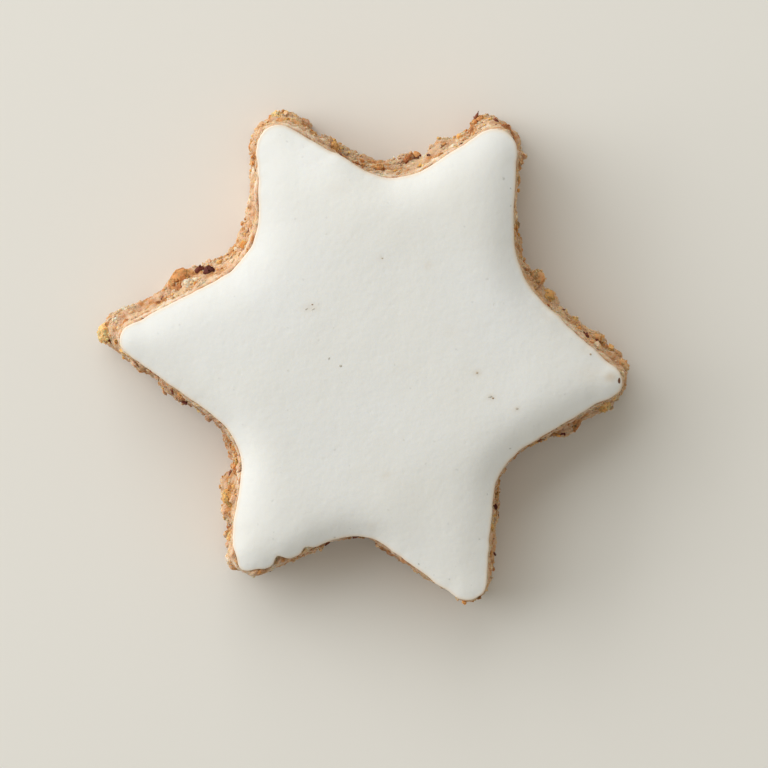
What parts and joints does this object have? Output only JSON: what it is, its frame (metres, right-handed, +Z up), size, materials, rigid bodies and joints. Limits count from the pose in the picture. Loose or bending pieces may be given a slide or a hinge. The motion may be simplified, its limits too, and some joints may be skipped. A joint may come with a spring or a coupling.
{
  "type": "cinnamon star cookie",
  "caption": "Star-shaped nut and cinnamon dough cookie under a smooth layer of white meringue icing.",
  "frame": {"origin": "centre of the cookie's footprint box, on the surface it lies on", "axes": "+Z up out of the icing, +X along the cookie's longest way across, through the left and right tips"},
  "size_m": [0.0534, 0.05, 0.0102],
  "materials": {
    "dough": "coarse baked nut crumb, matte, with flecks of nut skin and pale nut",
    "icing": "smooth off-white dried meringue icing, matte with a faint sheen and fine specks"
  },
  "bodies": {
    "root": {"dough": "dough", "icing": "icing"}
  },
  "joints": []
}
